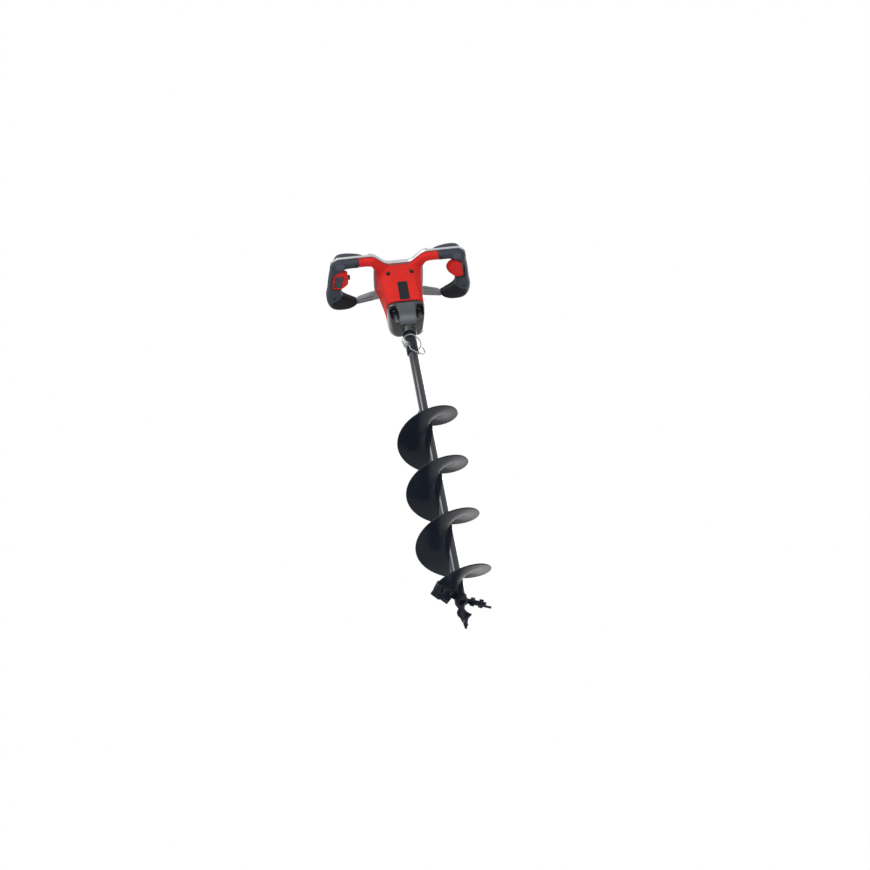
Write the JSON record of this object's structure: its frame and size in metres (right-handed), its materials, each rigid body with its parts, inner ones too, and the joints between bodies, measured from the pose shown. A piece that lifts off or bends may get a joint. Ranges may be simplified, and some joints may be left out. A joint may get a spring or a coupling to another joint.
{
  "type": "earth auger",
  "caption": "Cordless earth auger: a two-handed loop handle with a motor and gear head that drives a single-flight spiral auger with cutters and a pilot point.",
  "frame": {"origin": "on the spindle axis, at the mid-plane of the handle's frame plate, between the two grips", "axes": "+Z along the spindle from the auger's point up to the head, -Y towards the front rail, +X towards the trigger side"},
  "size_m": [0.366, 0.166, 1.05],
  "materials": {
    "housing_red": "moulded, semi-gloss",
    "soft_grip": "matt over-moulding",
    "frame_grey": "glass-filled, satin",
    "gloss_black": "gloss",
    "seal_black": "matt",
    "bright_strip": "brushed, bright",
    "gear_black": "die-cast, black gloss paint",
    "alloy": "die-cast",
    "auger_black": "blue-black gloss paint",
    "copper": "copper",
    "board_green": "circuit board",
    "spring_steel": "bright wire",
    "steel": "plain"
  },
  "bodies": {
    "machine": {"frame_plate": "frame_grey", "front_rail": "bright_strip", "rail_caps": "frame_grey", "motor_housing": "housing_red", "top_cover": "housing_red", "label_plate": "gloss_black", "right_grip_lower": "soft_grip", "right_grip_upper": "soft_grip", "left_grip_lower": "soft_grip", "left_grip_upper": "soft_grip", "left_pod": "housing_red", "case_screws": "steel", "grip_screws": "steel", "gear_screws": "steel", "battery_slide": "frame_grey", "terminal_block": "gloss_black", "terminal_blades": "copper", "trigger_pin": "steel", "trigger_spring": "steel", "right_switch": "gloss_black", "rocker_pin": "steel", "left_switch": "gloss_black", "button_spring": "steel", "right_leads": "seal_black", "left_leads": "seal_black", "control_board": "board_green", "motor_bracket": "alloy", "motor_can": "alloy", "motor_stator": "steel", "stator_windings": "copper", "motor_bearings": "steel", "gearbox_cover": "alloy", "ring_gear": "steel", "gear_housing": "gear_black", "housing_gasket": "seal_black", "spindle_bearings": "steel", "spindle_seal": "seal_black"},
    "spindle": {"output_spindle": "steel", "auger_sleeve": "auger_black", "lock_pin": "steel", "auger_tube": "auger_black", "auger_flight": "auger_black", "cutter_holders": "auger_black", "cutter_blades": "auger_black", "cutter_bolts": "steel", "pilot_point": "auger_black"},
    "clip": {"clip": "spring_steel"},
    "first_carrier": {"first_carrier": "steel"},
    "rotor": {"rotor": "steel", "motor_shaft": "steel", "cooling_fan": "gloss_black"},
    "first_planet_a": {"first_planet_a": "steel"},
    "first_planet_b": {"first_planet_b": "steel"},
    "first_planet_c": {"first_planet_c": "steel"},
    "second_planet_a": {"second_planet_a": "steel"},
    "second_planet_b": {"second_planet_b": "steel"},
    "second_planet_c": {"second_planet_c": "steel"},
    "right_trigger": {"right_trigger": "housing_red"},
    "direction_rocker": {"direction_rocker": "gloss_black"},
    "lock_off_button": {"lock_off_button": "gloss_black"}
  },
  "joints": [
    {"name": "spindle_spin", "type": "hinge", "parent": "machine", "child": "spindle", "pos_m": [0, 0, 0], "axis": [0, 0, 1], "continuous": true},
    {"name": "first_carrier_spin", "type": "hinge", "parent": "machine", "child": "first_carrier", "pos_m": [0, 0, 0], "axis": [0, 0, 1], "continuous": true},
    {"name": "rotor_spin", "type": "hinge", "parent": "machine", "child": "rotor", "pos_m": [0, 0, 0], "axis": [0, 0, 1], "continuous": true},
    {"name": "first_planet_a_spin", "type": "hinge", "parent": "first_carrier", "child": "first_planet_a", "pos_m": [0.01875, 0, 0], "axis": [0, 0, 1], "continuous": true},
    {"name": "first_planet_b_spin", "type": "hinge", "parent": "first_carrier", "child": "first_planet_b", "pos_m": [-0.00937, 0.01624, 0], "axis": [0, 0, 1], "continuous": true},
    {"name": "first_planet_c_spin", "type": "hinge", "parent": "first_carrier", "child": "first_planet_c", "pos_m": [-0.00937, -0.01624, 0], "axis": [0, 0, 1], "continuous": true},
    {"name": "second_planet_a_spin", "type": "hinge", "parent": "spindle", "child": "second_planet_a", "pos_m": [0.01875, 0, 0], "axis": [0, 0, 1], "continuous": true},
    {"name": "second_planet_b_spin", "type": "hinge", "parent": "spindle", "child": "second_planet_b", "pos_m": [-0.00937, 0.01624, 0], "axis": [0, 0, 1], "continuous": true},
    {"name": "second_planet_c_spin", "type": "hinge", "parent": "spindle", "child": "second_planet_c", "pos_m": [-0.00937, -0.01624, 0], "axis": [0, 0, 1], "continuous": true},
    {"name": "clip_swing", "type": "hinge", "parent": "spindle", "child": "clip", "pos_m": [-0.01577, -0.01577, -0.231], "axis": [0, 0, -1], "range_deg": [0, 75]},
    {"name": "trigger_pull", "type": "hinge", "parent": "machine", "child": "right_trigger", "pos_m": [0.1465, -0.03992, -0.0095], "axis": [0, 0, -1], "range_deg": [0, 4.5], "stiffness_Nm_per_rad": 4, "springref_deg": -1.72, "deforming": ["trigger_spring"]},
    {"name": "rocker_tilt", "type": "hinge", "parent": "machine", "child": "direction_rocker", "pos_m": [-0.1505, -0.01645, -0.0132], "axis": [0.9848, 0.1736, 0], "range_deg": [-6, 6]},
    {"name": "button_push", "type": "slide", "parent": "machine", "child": "lock_off_button", "axis": [-1, 0, 0], "range_m": [0, 0.0035], "stiffness_N_per_m": 400, "springref_m": -0.002, "deforming": ["button_spring"]}
  ],
  "couplings": [
    {"joint": "first_carrier_spin", "follows": "spindle_spin", "ratio": 5},
    {"joint": "rotor_spin", "follows": "spindle_spin", "ratio": 25},
    {"joint": "first_planet_a_spin", "follows": "spindle_spin", "ratio": -13.333},
    {"joint": "first_planet_b_spin", "follows": "spindle_spin", "ratio": -13.333},
    {"joint": "first_planet_c_spin", "follows": "spindle_spin", "ratio": -13.333},
    {"joint": "second_planet_a_spin", "follows": "spindle_spin", "ratio": -2.6667},
    {"joint": "second_planet_b_spin", "follows": "spindle_spin", "ratio": -2.6667},
    {"joint": "second_planet_c_spin", "follows": "spindle_spin", "ratio": -2.6667}
  ]
}
